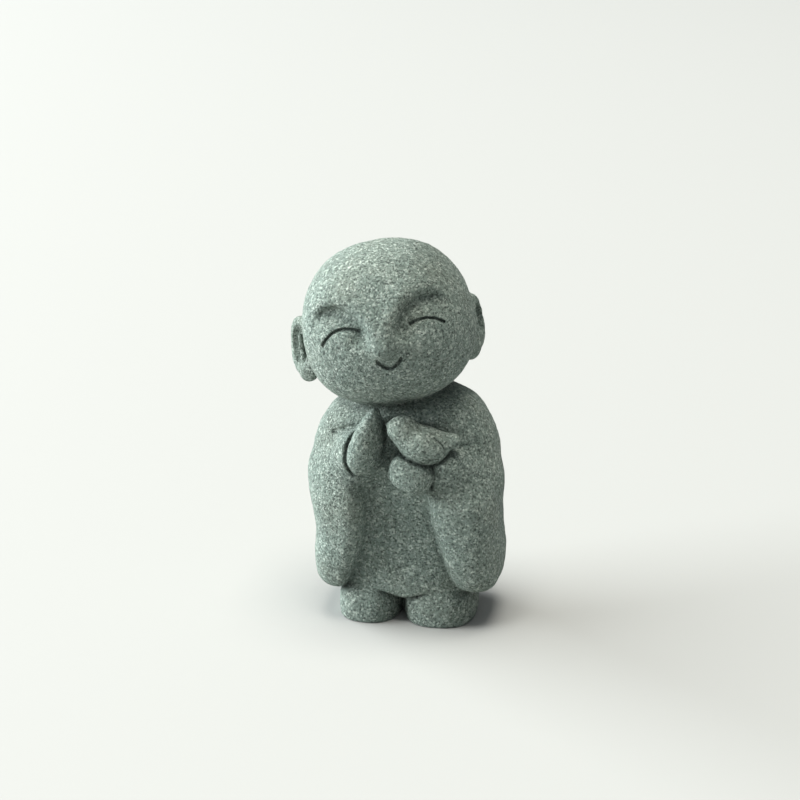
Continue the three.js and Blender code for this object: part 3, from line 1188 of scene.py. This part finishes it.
@dataclass(frozen=True)
class CastStone:
    """Matt sand casting: grey-green, dark and pale grains, pitted; painted shade in pits and
    hollows.
    """

    body: tuple = (0.222, 0.283, 0.246, 1.0)
    dark: tuple = (0.036, 0.051, 0.043, 1.0)
    pale: tuple = (0.7, 0.79, 0.71, 1.0)
    warm: tuple = (0.245, 0.265, 0.205, 1.0)
    cool: tuple = (0.165, 0.245, 0.22, 1.0)
    grain: float = 0.00036
    clump: float = 0.0007
    pit: float = 0.00045
    patch: float = 0.014
    contrast: float = 0.74
    pit_depth: float = 0.0008
    # How far the painted shade in the hollows darkens the colour at most.
    painted_shade_share: float = 0.55

    def material(self) -> bpy.types.Material:
        """Build the material."""
        n = Nodes("cast_stone")
        shades = [(0.35, self.cool), (0.5, self.body), (0.66, self.warm)]
        patches = n.ramp(n.noise(self.patch, 3), shades)
        fine = n.cells(self.grain)
        coarse = n.cells(self.clump, 0.31)
        shares = [n.feed(n.add("ShaderNodeSeparateColor"), Color=cells.outputs["Color"]).outputs[0]
                  for cells in (fine, coarse)]
        tones = [(0.0, self.dark), (0.26, self.body), (0.74, self.body), (1.0, self.pale)]
        salted = n.mix(self.contrast, patches, n.ramp(shares[0], tones))
        clumped = n.mix(0.3, salted, n.ramp(shares[1], tones))
        pits = n.noise(self.pit, 3, 0.65)
        # Painted shade in the pits: the colour turns dark where the pit noise, which also sinks
        # the surface, is low.
        in_pit = n.ramp(pits, [(0.36, (0.85, 0.85, 0.85)), (0.49, (0, 0, 0))])
        pitted = n.mix(in_pit, clumped, self.dark)
        # Painted shade in the hollows: the stored hollow measure mixes the colour towards the dark
        # tone.
        hollow = n.add("ShaderNodeAttribute", attribute_name=PAINTED_SHADE).outputs["Fac"]
        painted_shade_share = n.ramp(hollow, [(0.12, (0, 0, 0)), (0.9, (self.painted_shade_share,) * 3)])
        colour = n.mix(painted_shade_share, pitted, self.dark)
        rough = n.bump(pits, self.pit_depth, 1.0)
        skin = n.bump(fine.outputs["Distance"], 0.00008, 0.5, rough)
        return n.finish(Base_Color=colour, Roughness=0.9, Normal=skin)


@dataclass(frozen=True)
class PaleFloor:
    """The studio's matt off-white floor."""

    colour: tuple = (0.42, 0.426, 0.415, 1.0)

    def material(self) -> bpy.types.Material:
        """Build the material."""
        n = Nodes("pale_floor")
        return n.finish(Base_Color=self.colour, Roughness=0.8)


# Object and studio

class Casting:
    """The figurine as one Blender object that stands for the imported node.

    The skin starts on a grid of cells in millimetres, and is then split twice where it turns.
    """

    cell = 0.5
    turns = (20.0, 28.0)

    def __init__(self, node: str) -> None:
        low, high = (np.array(corner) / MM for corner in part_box(node))
        self.node = node
        self.middle = (low + high) / 2
        self.form = Figurine(Sizes(float(high[2] - low[2]) * FIGURE_SHARE))
        self.offset = np.zeros(3)

    def mesh(self) -> bpy.types.Object:
        """Skin the form, place it in the node's box and make the object.

        Returns:
            The object.
        """
        half = np.array([0.4, 0.36, 0.0]) * self.form.sizes.height
        low = np.array([-half[0], -half[1], -1.03])
        high = np.array([half[0], half[1], 1.02 * self.form.sizes.height])
        skin = Skin(self.form.distance)
        skin.lay(low, high, self.cell)
        for _ in range(2):
            skin.settle(2)
            skin.relax()
        skin.settle(2)
        for turn in self.turns:
            skin.refine(turn)
            skin.settle(2)
        centre = (skin.points.min(0) + skin.points.max(0)) / 2
        self.offset = np.array([self.middle[0] - centre[0], self.middle[1] - centre[1], 0.0])
        # Painted shade: how deep each point lies in a hollow, near and wide, kept on the mesh so
        # that the stone's colour darkens there.
        hollow_shade = np.maximum(skin.shelter(0.8), 0.6 * skin.shelter(3.0))
        Grain().raise_on(skin)
        points = (skin.points + self.offset) * MM
        points[:, 2] = np.maximum(points[:, 2], 0.0)
        data = bpy.data.meshes.new("figurine_mesh")
        data.from_pydata(points.tolist(), [], skin.corners())
        data.validate()
        data.polygons.foreach_set("use_smooth", [True] * len(data.polygons))
        shade = data.attributes.new(PAINTED_SHADE, "FLOAT", "POINT")
        shade.data.foreach_set("value", hollow_shade.astype(np.float32))
        piece = bpy.data.objects.new("figurine", data)
        bpy.context.scene.collection.objects.link(piece)
        triangles = sum(len(face) - 2 for face in skin.faces)
        LOG.info("figurine: %s triangles", triangles)
        return piece

    def dress(self, piece: bpy.types.Object) -> None:
        """Give the object its finish and tie it to the frame.

        Args:
            piece: The object.
        """
        piece.data.materials.append(CastStone().material())
        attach(piece, "root")
        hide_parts(self.node)


class Side(Enum):
    """Where a light stands: degrees round from the front, and degrees up."""

    KEY = (-95.0, 20.0)
    TOP = (0.0, 88.0)


class Studio:
    """A pale floor, soft light from the left and from above, and the camera.

    The camera's reach is in metres, its aim in millimetres and its lens in millimetres.
    """

    reach = 0.466
    aim = (-2.6, 0.0, 45.6)
    lens = 100.0
    azimuth = 10.0
    elevation = 20.0
    light_distance = 3.0
    floor_half = 4.0
    sky_strength = 0.28

    def __init__(self, offset: Array) -> None:
        self.target = Vector(((np.array(self.aim) + offset) * MM).tolist())

    def away(self, azimuth: float, elevation: float) -> Vector:
        """Point from the target towards a side."""
        a, e = np.radians([azimuth, elevation])
        return Vector((np.sin(a) * np.cos(e), -np.cos(a) * np.cos(e), np.sin(e)))

    def floor(self) -> None:
        """Lay the floor."""
        half = self.floor_half
        data = bpy.data.meshes.new("floor_mesh")
        corners = [(-half, -half, 0), (half, -half, 0), (half, half, 0), (-half, half, 0)]
        data.from_pydata(corners, [], [(0, 1, 2, 3)])
        floor = bpy.data.objects.new("floor", data)
        bpy.context.scene.collection.objects.link(floor)
        data.materials.append(PaleFloor().material())

    def light(self, side: Side, width: float, height: float, power: float, colour: tuple) -> None:
        """Hang a soft light that faces the figure.

        Args:
            side: Where it stands.
            width: Its width in metres.
            height: Its height in metres.
            power: Its power in watts.
            colour: Its tint.
        """
        data = bpy.data.lights.new(side.name.lower(), "AREA")
        data.shape = "RECTANGLE"
        data.size = width
        data.size_y = height
        data.energy = power
        data.color = colour
        lamp = bpy.data.objects.new(side.name.lower(), data)
        away = self.away(*side.value)
        lamp.location = self.target + away * self.light_distance
        lamp.rotation_euler = away.to_track_quat("Z", "Y").to_euler()
        bpy.context.scene.collection.objects.link(lamp)

    def sky(self) -> None:
        """Set the even light from all round."""
        world = bpy.data.worlds.new("sky")
        world.use_nodes = True
        shade = world.node_tree.nodes["Background"]
        shade.inputs["Color"].default_value = (0.95, 0.98, 1.0, 1.0)
        shade.inputs["Strength"].default_value = self.sky_strength
        bpy.context.scene.world = world

    def camera(self) -> None:
        """Set the camera."""
        data = bpy.data.cameras.new("camera")
        data.lens = self.lens
        data.clip_start = 0.01
        camera = bpy.data.objects.new("camera", data)
        away = self.away(self.azimuth, self.elevation)
        camera.location = self.target + away * self.reach
        camera.rotation_euler = away.to_track_quat("Z", "Y").to_euler()
        bpy.context.scene.collection.objects.link(camera)
        bpy.context.scene.camera = camera

    def build(self) -> None:
        """Set the whole studio."""
        self.floor()
        self.light(Side.KEY, 4.0, 1.5, 288.0, (0.955, 1.0, 1.01))
        self.light(Side.TOP, 1.6, 1.6, 96.0, (1.0, 0.97, 0.89))
        self.sky()
        self.camera()
        bpy.context.scene.view_settings.view_transform = "Standard"


def main() -> None:
    """Build the casting and its studio, and log the frame's nodes."""
    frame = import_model()
    LOG.info("frame with nodes %s", list(frame["nodes"]))
    casting = Casting(NODE)
    piece = casting.mesh()
    casting.dress(piece)
    Studio(casting.offset).build()


if __name__ == "__main__":
    main()
